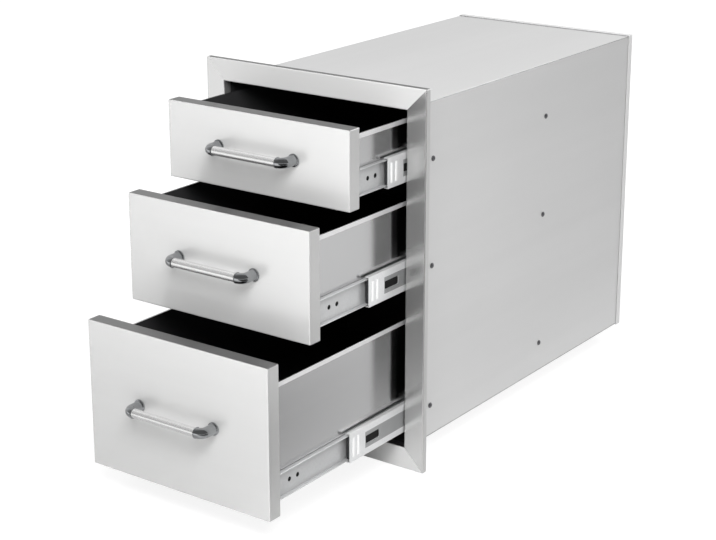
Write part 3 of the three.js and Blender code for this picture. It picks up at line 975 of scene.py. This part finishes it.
def seen_directly(tree):
    """1 for what the camera sees, also in metal or glass, and 0 for what lights the object."""
    path = add(tree, "ShaderNodeLightPath")
    both = math_node(tree, "ADD", path.outputs["Is Camera Ray"], path.outputs["Is Glossy Ray"])
    every = math_node(tree, "ADD", both, path.outputs["Is Transmission Ray"])
    return math_node(tree, "MINIMUM", every, 1.0), path.outputs["Is Camera Ray"]


def ramp_over(tree, measure, near, far, low, high):
    """A value that goes from low to high while a measure goes from near to far."""
    ramp = add(tree, "ShaderNodeMapRange",
               {"From Min": near, "From Max": far, "To Min": low, "To Max": high},
               interpolation_type="SMOOTHSTEP")
    tree.links.new(measure, ramp.inputs["Value"])
    return ramp.outputs["Result"]


def fall_off(tree, place, way, near, far, low, high):
    """A value that goes from low to high toward one side of the studio."""
    reach = add(tree, "ShaderNodeVectorMath", {1: way}, operation="DOT_PRODUCT")
    tree.links.new(place, reach.inputs[0])
    return ramp_over(tree, reach.outputs["Value"], near, far, low, high)


def white_for_camera(tree, tone, camera_ray, white=1.0):
    """The tone, but white where the camera looks straight at it."""
    return math_node(tree, "MAXIMUM", tone, math_node(tree, "MULTIPLY", camera_ray, white))


def choose_shader(tree, mask, first, second, output):
    """The first shader where the mask is 0 and the second where it is 1."""
    choose = add(tree, "ShaderNodeMixShader")
    for socket, source in zip(choose.inputs, (mask, first.outputs[0], second.outputs[0])):
        tree.links.new(source, socket)
    tree.links.new(choose.outputs[0], add(tree, output).inputs["Surface"])


def floor_tone(tree, place):
    """The floor as metal mirrors it, with painted shade: dimmed to the right of the object, in
    front and behind.
    """
    # painted shade on the floor's glow: darker to the right of the object, in front of it, near its
    # foot and further behind
    right = fall_off(tree, place, (1, 0, 0), near=0.05, far=0.5, low=0.0, high=1.0)
    front = fall_off(tree, place, (0, 1, 0), near=-0.5, far=0.4, low=0.9, high=0.0)
    foot = fall_off(tree, place, (1, 0, 0), near=0.35, far=0.75, low=0.3, high=0.04)
    behind = fall_off(tree, place, (0, 1, 0), near=0.8, far=2.2, low=0.0, high=0.27)
    sides = math_node(tree, "ADD", math_node(tree, "ADD", front, foot), behind)
    shaded = math_node(tree, "MINIMUM", math_node(tree, "MULTIPLY", right, sides), SHADE_MOST)
    return math_node(tree, "MULTIPLY", math_node(tree, "SUBTRACT", 1.0, shaded), MIRRORED_TONE)


def paint_floor(tree):
    """Pale paint for the light on the object; for the camera and for metal, a glow with shadows.

    Left of the object's middle the mirrored glow is dim near the fronts and bright further ahead,
    and to the right it is even; the dimming near the object is painted shade.
    """
    place = add(tree, "ShaderNodeTexCoord").outputs["Object"]
    seen, camera_ray = seen_directly(tree)
    paint = add(tree, "ShaderNodeBsdfDiffuse", {"Color": FLOOR_TONE})
    soft = add(tree, "ShaderNodeBsdfDiffuse")
    dimmed = floor_tone(tree, place)
    reach = add(tree, "ShaderNodeVectorMath", operation="LENGTH")
    tree.links.new(place, reach.inputs[0])
    around = ramp_over(tree, reach.outputs["Value"], near=0.5, far=1.6, low=0.86, high=1.0)
    tone = math_node(tree, "MULTIPLY", white_for_camera(tree, dimmed, camera_ray), SHADOW_TONE)
    tree.links.new(tone, soft.inputs["Color"])
    # painted shade: left of the middle, the mirrored glow is dim near the fronts
    ahead = fall_off(tree, place, (0, -1, 0), near=0.45, far=0.95, low=0.3, high=1.15)
    beside = fall_off(tree, place, (1, 0, 0), near=0.0, far=0.14, low=0.0, high=1.0)
    strength = add(tree, "ShaderNodeMix", data_type="FLOAT")
    strength.inputs[3].default_value = BESIDE_STRENGTH
    tree.links.new(beside, strength.inputs["Factor"])
    tree.links.new(ahead, strength.inputs[2])
    mirrored = math_node(tree, "MULTIPLY", dimmed, strength.outputs[0])
    glow = add(tree, "ShaderNodeEmission")
    tree.links.new(white_for_camera(tree, mirrored, camera_ray, around), glow.inputs["Strength"])
    shown = add(tree, "ShaderNodeAddShader")
    tree.links.new(soft.outputs[0], shown.inputs[0])
    tree.links.new(glow.outputs[0], shown.inputs[1])
    choose_shader(tree, seen, paint, shown, "ShaderNodeOutputMaterial")


def make_floor():
    """A pale floor under the frame's lower edge that shows white around the object's shadow."""
    height = CAD_BOX[0][2] - FLOOR_DROP
    bm = bmesh.new()
    corners = ((-1, -1), (1, -1), (1, 1), (-1, 1))
    bm.faces.new([bm.verts.new((x * FLOOR_REACH, y * FLOOR_REACH, height)) for x, y in corners])
    mesh = bpy.data.meshes.new("floor")
    bm.to_mesh(mesh)
    bm.free()
    floor = bpy.data.objects.new("floor", mesh)
    bpy.context.scene.collection.objects.link(floor)
    material = bpy.data.materials.new("pale floor")
    material.use_nodes = True
    material.node_tree.nodes.clear()
    paint_floor(material.node_tree)
    mesh.materials.append(material)


def make_world():
    """A white sweep behind the object and to its left, and a darker room behind the camera."""
    world = bpy.data.worlds.new("white studio")
    bpy.context.scene.world = world
    world.use_nodes = True
    tree = world.node_tree
    tree.nodes.clear()
    seen, camera_ray = seen_directly(tree)
    white = {"Color": (1, 1, 1, 1)}
    room = add(tree, "ShaderNodeBackground", {**white, "Strength": ROOM_STRENGTH})
    sweep = add(tree, "ShaderNodeBackground", white)
    way = add(tree, "ShaderNodeTexCoord").outputs["Generated"]
    wall = fall_off(tree, way, (-0.62, 0.78, 0), near=-0.3, far=0.85, low=0.15, high=0.75)
    cove = fall_off(tree, way, (0, 0, 1), near=0.0, far=0.18, low=0.8, high=0.0)
    tone = math_node(tree, "MAXIMUM", wall, cove)
    tree.links.new(white_for_camera(tree, tone, camera_ray), sweep.inputs["Strength"])
    choose_shader(tree, seen, room, sweep, "ShaderNodeOutputWorld")


def add_softbox(name, place, aim, size, power, is_mirrored):
    light = bpy.data.lights.new(name, "AREA")
    light.shape = "RECTANGLE"
    light.size, light.size_y = size
    light.energy = power
    lamp = bpy.data.objects.new(name, light)
    lamp.location = place
    lamp.visible_camera = False
    lamp.visible_glossy = is_mirrored
    lamp.rotation_euler = (Vector(aim) - Vector(place)).to_track_quat("-Z", "Y").to_euler()
    bpy.context.scene.collection.objects.link(lamp)


def add_camera():
    camera = bpy.data.cameras.new("camera")
    camera.sensor_width = SENSOR
    camera.lens = LENS
    camera.shift_y = SHIFT / PICTURE_WIDTH
    camera.clip_end = FARTHEST
    holder = bpy.data.objects.new("camera", camera)
    holder.location = CAMERA_PLACE
    holder.rotation_euler = (math.radians(90 - CAMERA_DIP), 0, math.radians(CAMERA_TURN))
    bpy.context.scene.collection.objects.link(holder)
    bpy.context.scene.camera = holder


make_floor()
make_world()
for softbox in SOFTBOXES:
    add_softbox(*softbox)
add_camera()
bpy.context.scene.view_settings.view_transform = "Standard"
